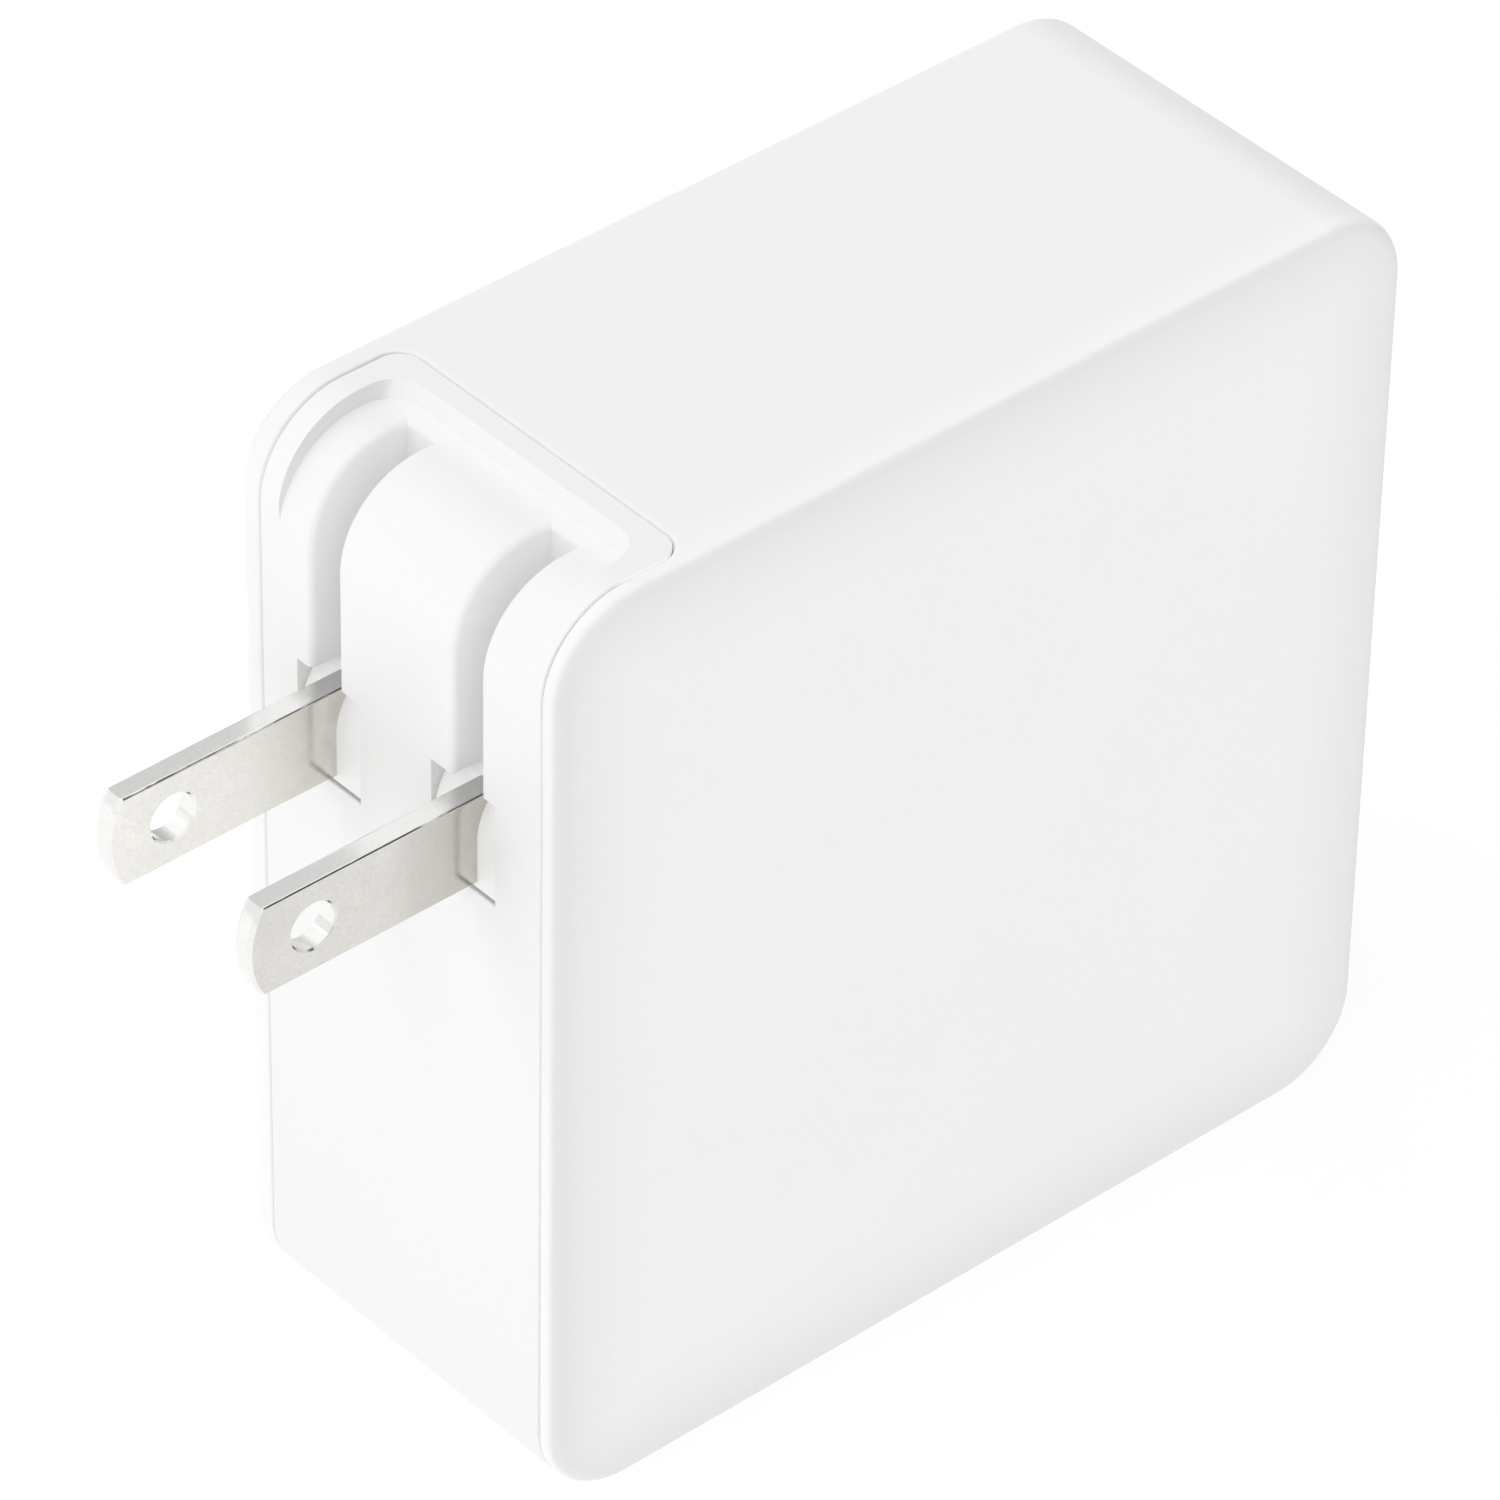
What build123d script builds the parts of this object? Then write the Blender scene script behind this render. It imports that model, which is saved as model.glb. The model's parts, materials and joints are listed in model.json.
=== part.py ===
"""USB wall charger with a fold-away plug.

The blades point along -Y, the sockets along +Y, +Z is up.  The origin is in the middle of the bottom face.
"""
from build123d import *
import os
from math import cos, degrees, radians, sin, sqrt

os.makedirs("parts", exist_ok=True)

# ---------------------------------------------------------------- case
CASE_W = 28.2                      # thickness, X
CASE_D = 65.8                      # wall face to port face, Y
CASE_H = 66.9                      # height, Z
CORNER_R = 6.0                     # big corners, seen from the side
EDGE_R = 0.9                       # round between the side faces and the perimeter
END_WALL = 2.0                     # top, bottom and end walls
SEAM = 0.07                        # gap between the case shell and the wall cover
CHEEK = 1.64                       # side walls of the shell, on average
CAVITY_X = 0.35                    # the cavity is this far off the middle, so one side wall is thinner
COVER_X = CAVITY_X + 0.03          # and the cover sits towards that wall
RIM_R = 0.35                       # soft inner edge of the shell's rim
TAIL = 10.6                        # how far the cover wraps onto the top and the bottom
TAIL_R = 1.6                       # plan corners of that wrap
WALL_Y = -CASE_D / 2               # the face that meets the wall outlet
PORT_Y = CASE_D / 2                # the face with the sockets
CAVITY_HALF = CASE_W / 2 - CHEEK
COVER_HALF = CAVITY_HALF - SEAM
RIM_FROM = WALL_Y + CORNER_R / 2   # the soft rim edge starts in front of this
NEAR = 1e-3                        # how close an edge must be to count as found
FAR = 1.0                          # how far cutting tools reach past the surfaces

# ---------------------------------------------------------------- plug (NEMA 1-15 blades)
BLADE_X = 6.35                     # half of the blade spacing
BLADE_T = 1.5
BLADE_W = 6.35
BLADE_OUT = 16.4                   # from the wall face to the tip
BLADE_Z = 47.7                     # height of the blade's middle
TIP_BULGE = 0.95                   # the tip's end is an arc this deep
HOLE_OUT = 11.8                    # from the wall face to the hole
HOLE_D = 3.2
PIVOT_BACK = 3.0                   # the fold axis, from the wall face
PIVOT_Y = WALL_Y + PIVOT_BACK
PIVOT_Z = 47.05
TAIL_REACH = 6.0                   # the blade's contact tail, from the fold axis
TAIL_HALF = 1.2
NECK_BACK = 1.0                    # the blade narrows to its tail this far behind the fold axis
BLADE_EDGE_R = 0.18
LEAD_X, LEAD_Y = 0.32, 0.13        # the bevels that lead the tip into the outlet
HOLE_EDGE = 0.12

# ---------------------------------------------------------------- carrier and its pocket
WINDOW_IN, WINDOW_OUT = 3.2, 8.9   # the window's sides, from the middle of the case
WINDOW_HIGH = 51.36
CARRIER_GAP = 0.15
CARRIER_R = 4.05
POCKET_R = 4.2
SILL_Z = PIVOT_Z - sqrt(POCKET_R ** 2 - PIVOT_BACK ** 2)
SILL_BEVEL = 0.12
SHOULDER_R = 4.26                  # the round above the carrier's front
SHOULDER_Z = 47.7
FRONT_BACK = 0.18                  # the carrier's front is this far behind the wall face
FLAT_LOW = SILL_Z + 0.09           # the carrier's lower flat, its front when folded
JOURNAL_R = 1.5
JOURNAL_GAP = 0.06
JOURNAL_END = 10.2
BORE_R = JOURNAL_R + JOURNAL_GAP
CAM_HALF = 1.3                     # the square cam between the carriers, for the detent spring
CAM_R = 1.7
CAM_WAY_R = 1.95
SWING_R = 6.5                      # room for the contact tails
SWING_FRONT = 0.9
SWING_TOP = 2.5
SWING_HALF = 1.35
SCREW_R = 0.8
SCREW_L = 4.5
SCREW_Z = (42.3, 55.0)
SLOT_HALF = 1.24
SLOT_DEEP = 7.25                   # slot floor, from the wall face
SLOT_EDGE = 0.42
WELL_HALF = 11.0                   # the block behind the slots
WELL_DEEP = 8.3
WELL_LOW = 39.8
WELL_INSET = 0.5                   # the block ends this far inside the case outline
TONGUE_HALF = 9.0                  # the cover's tongues under the shell's top and bottom walls
TONGUE_ROOT = (7.0, TAIL - 0.4)
TONGUE_Y = (7.0, TAIL + 3.5)
TONGUE_T = 0.9
TONGUE_GAP = 0.1                   # between a tongue and the wall
TONGUE_STEP = 0.2                  # the tongues' roots are this much thicker on each side

# ---------------------------------------------------------------- retainer, spring and contacts
RETAINER_BACK = 9.8
RETAINER_Z = (40.2, 57.5)
TAIL_SLIT_Z = (43.0, 49.4)
SCREW_HEAD_R = 1.7
SCREW_HEAD_H = 1.1
SCREW_WAY_R = SCREW_R + 0.1
SCREW_SPARE = 0.5                  # the screws end this far above their holes' floors
CROSS_LONG, CROSS_THIN = 0.6 * SCREW_HEAD_R, 0.2   # half sizes of the screws' cross recess
LEAF_T = 0.25                      # spring and contact sheet
SPRING_HALF = 1.5
SPRING_REACH = CAM_WAY_R - 0.1
LEAF_GAP = 0.2                     # between a contact leaf and the blade's tail
LEAF_HALF = 1.1
STRIP_W = 1.5
STRIP_Y = (RETAINER_BACK + 0.4, RETAINER_BACK + 0.4 + LEAF_T)
STRIP_END = 3.5                    # how far a contact strip runs along the main board
STRIPS = {"left": ("neutral_contact", (46.6, 48.0)), "right": ("line_contact", (50.6, 52.0))}

# ---------------------------------------------------------------- finger recess at the top corner
RECESS_DEPTH = 1.13
RECESS_HALF = 10.8
RECESS_BACK = 9.05
RECESS_LEAN = 0.48                 # how far its back wall leans over its depth
RECESS_SIDE_LEAN = 0.1             # and its side walls
RECESS_PLAN_R = 2.2

# ---------------------------------------------------------------- sockets and their plate
PLATE_X, PLATE_Z, PLATE_R = 14.6, 47.6, 3.0
PLATE_SET_BACK = 0.4
PLATE_MID_Z = CASE_H / 2
USB_C_Z, USB_A_Z = 44.5, 24.5
USB_C_IN = (8.34, 2.66)            # the socket's opening, long side along Z
USB_A_IN = (12.5, 5.12)
SHEET = 0.3                        # socket sheet metal
SOCKET_L = 13.8
SOCKET_SET_BACK = 0.5              # the metal is this far behind the plate's face
PORT_BOARD_T = 1.6
PLATE_GAP = 0.08
USB_C_R = USB_C_IN[1] / 2 - 0.01
USB_A_R = 0.4
HOUSING_GAP = 0.02                 # between a socket's housing and its sheet metal
USB_C_HOUSING = 7.6                # how far the housings reach from the port board
USB_A_HOUSING = 3.4
USB_C_TONGUE = (6.65, 0.7)
USB_C_TONGUE_BACK = 1.0            # the tongues end this far inside the mouths
USB_C_TONGUE_BEVEL = 0.15
USB_C_PINS, USB_C_PITCH = 12, 0.5
USB_C_PIN_HALF, USB_C_PIN_T, USB_C_PIN_BACK = 0.12, 0.05, 1.9
USB_A_TONGUE_X = (-2.35, -0.5)
USB_A_TONGUE_HALF = 5.55
USB_A_TONGUE_BACK = 0.8
USB_A_PINS = (-3.5, -1.0, 1.0, 3.5)
USB_A_PIN_HALF, USB_A_PIN_T, USB_A_PIN_BACK = 0.55, 0.15, 1.6
MOUTH_BEVEL = 0.35
SOCKET_BEVEL = 0.25
FLANGE_OVER = 1.5                  # the plate's flange behind the end wall
FLANGE_T = 1.2

# ---------------------------------------------------------------- main board and what stands on it
BOARD_T = 1.6
BOARD_X = -7.9                     # the component side
BOARD_Y = (12.0, 49.4)             # from the wall face
BOARD_Z = (3.5, 63.4)
PORT_BOARD_X = (BOARD_X - BOARD_T, 10.5)
CORE_X, CORE_Y, CORE_Z = 1.2, 31.5, 19.5   # the transformer's middle, y from the wall face
CORE_HALF_L = 9.5
CORE_BACK = 3.2                    # the bar that joins the core's legs
CORE_W = 21.0
CORE_T = 8.0
CORE_SPLIT = 0.05                  # between the two core halves
CORE_WINDOW_Z, CORE_WINDOW_H = 5.5, 4.6
LEG_HALF = 3.2                     # the core's middle leg
BOBBIN_T = 0.8
BOBBIN_GAP = 0.1
BOBBIN_HALF_X, BOBBIN_HALF_Z = 8.6, 7.6
FOOT_T, FOOT_Y, FOOT_HALF_Z = 2.0, 1.0, 9.0   # the bobbin's pin rails on the board
WEB_HALF_Z = 3.0
WINDING_X, WINDING_Z = 2.2, 2.6    # thickness of the winding over the bobbin
WINDING_R = 1.5
CHOKE_R = 6.4
CHOKE_T = 4.5
CHOKE_HOLE_R = 3.8
CHOKE_X, CHOKE_Y, CHOKE_Z = BOARD_X + 7.3, 20.5, 56.0
TURNS = 7                          # on each half of the choke
TURN_SPAN = 104                    # degrees
WIRE_T, WIRE_W = 0.5, 0.6
WIRE_CLEAR_X, WIRE_CLEAR_Y = 0.1, 0.05   # between the turns and the ring
BULK_CANS, BULK_R, BULK_H = [(19.0, 41.5), (30.0, 41.5), (41.0, 41.5)], 5.0, 18.5
OUTPUT_CANS, OUTPUT_R, OUTPUT_H = [(45.6, 11.5), (45.6, 26.0)], 3.15, 12.0
CAN_BEVEL = 0.4
CAN_GROOVE = (1.8, 2.4)            # heights of the rolled groove
CAN_GROOVE_DEEP = 0.4
DISC_R, DISC_H, DISC_Y, DISC_Z = 3.4, 2.6, 18.0, 31.0
DISC_EDGE_R = 0.8
DISC_LIFT, LEAD_R, LEAD_HALF = 0.4, 0.3, 2.0
# each of these is its height above or below the board, its y from the wall face, and its z
FILM_CAPACITOR = (11.0, (29.5, 43.5), (52.5, 59.0))
INPUT_FUSE = (8.0, (13.2, 17.2), (21.0, 25.0))
BRIDGE_RECTIFIER = (2.6, (13.5, 20.5), (8.0, 17.0))
POWER_SWITCH = (0.9, (24.0, 32.0), (20.0, 26.0))
CONTROLLER = (1.4, (24.0, 30.0), (34.0, 39.0))
OUTPUT_RECTIFIER = (1.1, (38.5, 44.5), (14.0, 19.0))
BOX_EDGE_R = 0.5
CHIP_BEVEL = 0.3

# ---------------------------------------------------------------- heat spreaders, sleeve and ribs
SPREADER_X = 11.4
SPREADER_T = 0.6
SPREAD_Y, SPREAD_Z = (16.0, 47.0), (6.5, 60.4)
PAD_HALF_Y, PAD_HALF_Z = 7.0, 8.0
FILM_T = 0.25
FILM_LOW = BOARD_Z[0] - 0.8
RIB_T = 1.0
RIB_GAP = 0.1
RIB_HOLD = 1.2                     # how far the ribs reach over the board's edge
RIB_Y = (16.0, 47.0)
RIB_ROOT = 0.2                     # the ribs start this far inside the walls

SIDES = {"left": -1, "right": 1}


def save(piece, name):
    """Label the piece and write it as one STEP file."""
    piece.part.label = name
    export_step(piece.part, f"parts/{name}.step")


def block(x, y, z, mode=Mode.ADD):
    """A box between three pairs of limits, with y counted from the wall face."""
    with Locations(((x[0] + x[1]) / 2, WALL_Y + (y[0] + y[1]) / 2, (z[0] + z[1]) / 2)):
        Box(abs(x[1] - x[0]), y[1] - y[0], z[1] - z[0], mode=mode)


def bar(x, radius, y=PIVOT_Y, z=PIVOT_Z, mode=Mode.ADD):
    """A round bar along X between two limits, on the fold axis unless told otherwise."""
    with Locations(Location(((x[0] + x[1]) / 2, y, z), (0, 90, 0))):
        Cylinder(radius, abs(x[1] - x[0]), mode=mode)


def pin(y, radius, x, z, mode=Mode.ADD):
    """A round bar along Y between two limits counted from the wall face."""
    with Locations(Location((x, WALL_Y + (y[0] + y[1]) / 2, z), (90, 0, 0))):
        Cylinder(radius, y[1] - y[0], mode=mode)


def side_plane(x, y, z):
    """A plane seen from the side, at (x, y, z): its own x is +Y and its own y is +Z."""
    return Plane(origin=(x, y, z), x_dir=(0, 1, 0), z_dir=(1, 0, 0))


def fold_plane(x):
    """The same, on the fold axis."""
    return side_plane(x, PIVOT_Y, PIVOT_Z)


def case_outline(inset, x=0):
    """The rounded outline of the case from the side, moved in by inset."""
    with BuildSketch(side_plane(x, 0, CASE_H / 2)) as outline:
        RectangleRounded(CASE_D - 2 * inset, CASE_H - 2 * inset, CORNER_R - inset)
    return outline.sketch


def plan_mouth(middle, half, end, corner, height=0):
    """The plan of everything behind the wall face up to end, with rounded corners, about x = middle."""
    front = WALL_Y - 4 * corner
    with BuildSketch(Plane.XY.offset(height)) as plan:
        with Locations((middle, (front + WALL_Y + end) / 2)):
            RectangleRounded(2 * half, WALL_Y + end - front, corner)
    return plan.sketch


def recess_side(x, drop):
    """The side view of the finger recess at x: all that is above the case outline lowered by drop."""
    far = 3 * CORNER_R
    low = CASE_H - CORNER_R - drop
    high = low + CORNER_R
    middle = (CORNER_R * (1 - sqrt(0.5)), low + CORNER_R * sqrt(0.5))
    with BuildSketch(side_plane(x, WALL_Y, 0)) as profile:
        with BuildLine():
            Line((-far, low), (0, low))
            ThreePointArc((0, low), middle, (CORNER_R, high))
            Polyline((CORNER_R, high), (far, high), (far, CASE_H + far), (-far, CASE_H + far), (-far, low))
        make_face()
    return profile.sketch


# ================================================================ the finger recess, as a cutting tool
FLOOR_HALF = RECESS_HALF - RECESS_SIDE_LEAN

with BuildPart() as recess_reach:
    # how far back it reaches: leaning walls round the flat part of the floor, straight ones in front
    floor_back = RECESS_BACK - RECESS_LEAN
    floor_plan = plan_mouth(COVER_X, FLOOR_HALF, floor_back, RECESS_PLAN_R, CASE_H - RECESS_DEPTH)
    mouth_plan = plan_mouth(COVER_X, RECESS_HALF, RECESS_BACK, RECESS_PLAN_R, CASE_H)
    loft([floor_plan, mouth_plan], ruled=True)
    block((COVER_X - RECESS_HALF, COVER_X + RECESS_HALF), (-3 * CORNER_R, CORNER_R),
          (CASE_H - 3 * CORNER_R, CASE_H + CORNER_R))

with BuildPart() as recess:
    extrude(recess_side(COVER_X - FLOOR_HALF, RECESS_DEPTH), amount=2 * FLOOR_HALF)
    for side in SIDES.values():
        floor_side = recess_side(COVER_X + side * FLOOR_HALF, RECESS_DEPTH)
        loft([floor_side, recess_side(COVER_X + side * RECESS_HALF, 0)], ruled=True)
    add(recess_reach.part, mode=Mode.INTERSECT)

# ================================================================ case shell
with BuildPart() as case_shell:
    extrude(case_outline(0), amount=CASE_W / 2, both=True)
    outer = case_shell.edges().filter_by(lambda e: abs(abs(e.center().X) - CASE_W / 2) < NEAR)
    fillet(outer, EDGE_R)
    # the cavity, open towards the wall
    extrude(case_outline(END_WALL, CAVITY_X), amount=CAVITY_HALF, both=True, mode=Mode.SUBTRACT)
    cover_way = plan_mouth(CAVITY_X, CAVITY_HALF, TAIL + SEAM / 2, TAIL_R + SEAM)
    extrude(cover_way, amount=CASE_H, mode=Mode.SUBTRACT)
    # the soft inner edge of the rim that frames the cover
    rim = case_shell.edges().filter_by(
        lambda e: abs(abs(e.center().X - CAVITY_X) - CAVITY_HALF) < NEAR and e.center().Y < RIM_FROM)
    fillet(rim, RIM_R)
    # the opening for the socket plate
    with BuildSketch(Plane.XZ.offset(-PORT_Y)) as opening:
        with Locations((0, PLATE_MID_Z)):
            RectangleRounded(PLATE_X, PLATE_Z, PLATE_R)
    extrude(opening.sketch, amount=END_WALL + FAR, mode=Mode.SUBTRACT)
    mouth_edges = case_shell.edges().filter_by(
        lambda e: abs(e.center().Y - PORT_Y) < NEAR and abs(e.center().X) < PLATE_X / 2 + NEAR
        and abs(e.center().Z - PLATE_MID_Z) < PLATE_Z / 2 + NEAR)
    chamfer(mouth_edges, MOUTH_BEVEL)
    # ribs that the main board slides between
    floor_rib = (END_WALL - RIB_ROOT, BOARD_Z[0] + RIB_HOLD)
    roof_rib = (BOARD_Z[1] - RIB_HOLD, CASE_H - END_WALL + RIB_ROOT)
    for rib_z in (floor_rib, roof_rib):
        block((BOARD_X + RIB_GAP, BOARD_X + RIB_GAP + RIB_T), RIB_Y, rib_z)
        block((BOARD_X - BOARD_T - RIB_GAP - RIB_T, BOARD_X - BOARD_T - RIB_GAP), RIB_Y, rib_z)
save(case_shell, "case_shell")

# ================================================================ wall cover
with BuildPart() as wall_cover:
    extrude(case_outline(0, COVER_X), amount=COVER_HALF, both=True)
    extrude(case_outline(END_WALL, COVER_X), amount=COVER_HALF, both=True, mode=Mode.SUBTRACT)
    extrude(plan_mouth(COVER_X, COVER_HALF, TAIL - SEAM / 2, TAIL_R), amount=CASE_H, mode=Mode.INTERSECT)
    # the block that holds the plug, inside the cover and up to its top
    with BuildSketch(side_plane(0, 0, CASE_H / 2)) as well:
        RectangleRounded(CASE_D - 2 * WELL_INSET, CASE_H - 2 * WELL_INSET, CORNER_R - WELL_INSET)
        with Locations((WALL_Y + WELL_DEEP / 2, WELL_LOW / 2)):
            Rectangle(WELL_DEEP, CASE_H - WELL_LOW, mode=Mode.INTERSECT)
    extrude(well.sketch, amount=WELL_HALF, both=True)
    # tongues that slide under the shell's top and bottom walls
    for low in (END_WALL + TONGUE_GAP, CASE_H - END_WALL - TONGUE_GAP - TONGUE_T):
        high = low + TONGUE_T
        block((-TONGUE_HALF, TONGUE_HALF), TONGUE_ROOT, (low - TONGUE_STEP, high + TONGUE_STEP))
        block((-TONGUE_HALF, TONGUE_HALF), TONGUE_Y, (low, high))
    add(recess.part, mode=Mode.SUBTRACT)
    for side in SIDES.values():
        middle = side * BLADE_X
        window = (side * WINDOW_IN, side * WINDOW_OUT)
        slot = (middle - SLOT_HALF, middle + SLOT_HALF)
        bar(window, POCKET_R, mode=Mode.SUBTRACT)
        block(window, (-FAR, PIVOT_BACK), (PIVOT_Z, WINDOW_HIGH), Mode.SUBTRACT)
        block(window, (PIVOT_BACK, WELL_DEEP + FAR), (PIVOT_Z - POCKET_R, PIVOT_Z + POCKET_R), Mode.SUBTRACT)
        block(slot, (-FAR, SLOT_DEEP), (PIVOT_Z, CASE_H + FAR), Mode.SUBTRACT)
    # bearings for the fold shaft, open at the back so that it drops in
    journal_x = (-JOURNAL_END - JOURNAL_GAP, JOURNAL_END + JOURNAL_GAP)
    for across, radius in ((journal_x, BORE_R), ((-WINDOW_IN, WINDOW_IN), CAM_WAY_R)):
        bar(across, radius, mode=Mode.SUBTRACT)
        block(across, (PIVOT_BACK, WELL_DEEP + FAR), (PIVOT_Z - radius, PIVOT_Z + radius), Mode.SUBTRACT)
    # room for the blades' contact tails as they swing down behind the sill
    for side in SIDES.values():
        with BuildSketch(fold_plane(side * BLADE_X)) as swing:
            Circle(SWING_R)
            with Locations((SWING_R - SWING_FRONT, SWING_TOP - SWING_R)):
                Rectangle(2 * SWING_R, 2 * SWING_R, mode=Mode.INTERSECT)
        extrude(swing.sketch, amount=SWING_HALF, both=True, mode=Mode.SUBTRACT)
    for z in SCREW_Z:
        pin((WELL_DEEP - SCREW_L, WELL_DEEP), SCREW_R, 0, z, Mode.SUBTRACT)
    slot_ends = wall_cover.edges().filter_by(Axis.X).filter_by(
        lambda e: abs(e.center().Y - WALL_Y - SLOT_DEEP) < NEAR and e.center().Z > CASE_H - 2 * RECESS_DEPTH)
    slot_edges = wall_cover.edges().filter_by(
        lambda e: abs(abs(abs(e.center().X) - BLADE_X) - SLOT_HALF) < NEAR and e.center().Z > WINDOW_HIGH
        and (abs(e.center().Y - WALL_Y) < NEAR or e.center().Z > CASE_H - RECESS_DEPTH - CORNER_R))
    fillet(slot_edges + slot_ends, SLOT_EDGE)
    sills = wall_cover.edges().filter_by(Axis.X).filter_by(
        lambda e: abs(e.center().Y - WALL_Y) < NEAR and abs(e.center().Z - SILL_Z) < NEAR)
    chamfer(sills, SILL_BEVEL)
save(wall_cover, "wall_cover")

# ================================================================ blades
blades = {}
for name, side in SIDES.items():
    middle = side * BLADE_X
    root = PIVOT_BACK + NECK_BACK
    tail = PIVOT_BACK + TAIL_REACH
    with BuildPart() as blade:
        # from the side, the tip's end is an arc
        with BuildSketch(side_plane(middle, WALL_Y, BLADE_Z)) as outline:
            with BuildLine():
                neck = -BLADE_OUT + TIP_BULGE
                ThreePointArc((neck, -BLADE_W / 2), (-BLADE_OUT, 0), (neck, BLADE_W / 2))
                Polyline((neck, BLADE_W / 2), (root, BLADE_W / 2), (root, -BLADE_W / 2), (neck, -BLADE_W / 2))
            make_face()
        extrude(outline.sketch, amount=BLADE_T / 2, both=True)
        tip = blade.faces().sort_by(Axis.Y)[0]
        chamfer(tip.edges().filter_by(GeomType.CIRCLE), LEAD_X, LEAD_Y, reference=tip)
        fillet(blade.edges().filter_by(Axis.Y), BLADE_EDGE_R)
        tail_z = (BLADE_Z - TAIL_HALF, BLADE_Z + TAIL_HALF)
        block((middle - BLADE_T / 2, middle + BLADE_T / 2), (root - NECK_BACK, tail), tail_z)
        bar((middle - BLADE_T, middle + BLADE_T), HOLE_D / 2, WALL_Y - HOLE_OUT, BLADE_Z, Mode.SUBTRACT)
        rounds = blade.edges().filter_by(GeomType.CIRCLE)
        chamfer(rounds.filter_by(lambda e: abs(e.radius - HOLE_D / 2) < NEAR), HOLE_EDGE)
    save(blade, f"blade_{name}")
    blades[name] = blade.part

# ================================================================ blade carrier: two barrels on one shaft
FRONT = WALL_Y + FRONT_BACK - PIVOT_Y
LOW = FLAT_LOW - PIVOT_Z


def shoulder_side():
    """What the rounded shoulder above the carrier's front leaves, on the fold axis."""
    with BuildSketch() as shoulder:
        with Locations((FRONT + SHOULDER_R, SHOULDER_Z - PIVOT_Z)):
            Circle(SHOULDER_R)
        with Locations((FRONT + 2 * SHOULDER_R, SHOULDER_Z - PIVOT_Z)):
            Rectangle(2 * SHOULDER_R, 4 * SHOULDER_R)
        with Locations((FRONT + 2 * SHOULDER_R, LOW)):
            Rectangle(4 * SHOULDER_R, 2 * (SHOULDER_Z - FLAT_LOW))
    return shoulder.sketch


def barrel_side(x):
    """The side view of one barrel: a circle with a flat front, a flat underside and a round shoulder."""
    with BuildSketch(fold_plane(x)) as barrel:
        Circle(CARRIER_R)
        with Locations((FRONT + CARRIER_R, LOW + CARRIER_R)):
            Rectangle(2 * CARRIER_R, 2 * CARRIER_R, mode=Mode.INTERSECT)
        add(shoulder_side(), mode=Mode.INTERSECT)
    return barrel.sketch


with BuildPart() as blade_carrier:
    near, far = WINDOW_IN + CARRIER_GAP, WINDOW_OUT - CARRIER_GAP
    with BuildSketch(fold_plane(0)) as cam:
        Rectangle(2 * CAM_HALF, 2 * CAM_HALF)
        Circle(CAM_R, mode=Mode.INTERSECT)
    middle = (near + far) / 2
    extrude(cam.sketch, amount=middle, both=True)
    for side in SIDES.values():
        extrude(barrel_side(side * middle), amount=far - middle, both=True)
        bar((side * middle, side * JOURNAL_END), JOURNAL_R)
    for blade in blades.values():
        add(blade, mode=Mode.SUBTRACT)
save(blade_carrier, "blade_carrier")

# ================================================================ what holds the carrier in its pocket
with BuildPart() as pivot_retainer:
    block((-WELL_HALF, WELL_HALF), (WELL_DEEP, RETAINER_BACK), RETAINER_Z)
    for side in SIDES.values():
        lug = (side * (WINDOW_OUT + JOURNAL_GAP), side * JOURNAL_END)
        block(lug, (PIVOT_BACK, WELL_DEEP), (PIVOT_Z - JOURNAL_R, PIVOT_Z + JOURNAL_R))
        bar(lug, BORE_R, mode=Mode.SUBTRACT)
        slit = (side * BLADE_X - SLOT_HALF, side * BLADE_X + SLOT_HALF)
        block(slit, (WELL_DEEP - FAR, RETAINER_BACK + FAR), TAIL_SLIT_Z, Mode.SUBTRACT)
    for z in SCREW_Z:
        pin((WELL_DEEP, RETAINER_BACK), SCREW_WAY_R, 0, z, Mode.SUBTRACT)
save(pivot_retainer, "pivot_retainer")

with BuildPart() as retainer_screws:
    for z in SCREW_Z:
        pin((WELL_DEEP - SCREW_L + SCREW_SPARE, RETAINER_BACK), SCREW_R, 0, z)
        pin((RETAINER_BACK, RETAINER_BACK + SCREW_HEAD_H), SCREW_HEAD_R, 0, z)
        cross_y = (RETAINER_BACK + SCREW_HEAD_H / 2, RETAINER_BACK + SCREW_HEAD_H + FAR)
        for across, up in ((CROSS_LONG, CROSS_THIN), (CROSS_THIN, CROSS_LONG)):
            block((-across, across), cross_y, (z - up, z + up), Mode.SUBTRACT)
save(retainer_screws, "retainer_screws")

with BuildPart() as detent_spring:
    front = PIVOT_BACK + CAM_WAY_R
    low, high = PIVOT_Z - SPRING_REACH, PIVOT_Z + SPRING_REACH
    block((-SPRING_HALF, SPRING_HALF), (front, front + LEAF_T), (low, high))
    for leg_z in ((low, low + LEAF_T), (high - LEAF_T, high)):
        block((-SPRING_HALF, SPRING_HALF), (front, WELL_DEEP), leg_z)
save(detent_spring, "detent_spring")


def contact_strip(side, strip_z):
    """A leaf beside the blade's tail, a riser, and a strip across to the main board."""
    face = side * (BLADE_X - BLADE_T / 2 - LEAF_GAP)
    leaf = (face, face - side * LEAF_T)
    riser_x = (min(leaf), min(leaf) + STRIP_W)
    leaf_z = (BLADE_Z - LEAF_HALF, BLADE_Z + LEAF_HALF)
    block(leaf, (PIVOT_BACK + CARRIER_R + LEAF_T, STRIP_Y[0]), leaf_z)
    block(riser_x, STRIP_Y, (min(leaf_z[0], strip_z[0]), max(leaf_z[1], strip_z[1])))
    block((BOARD_X, riser_x[1]), STRIP_Y, strip_z)
    block((BOARD_X, BOARD_X + LEAF_T), (STRIP_Y[0], BOARD_Y[0] + STRIP_END), strip_z)


for name, side in SIDES.items():
    node, strip_z = STRIPS[name]
    with BuildPart() as contact:
        contact_strip(side, strip_z)
    save(contact, node)

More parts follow.
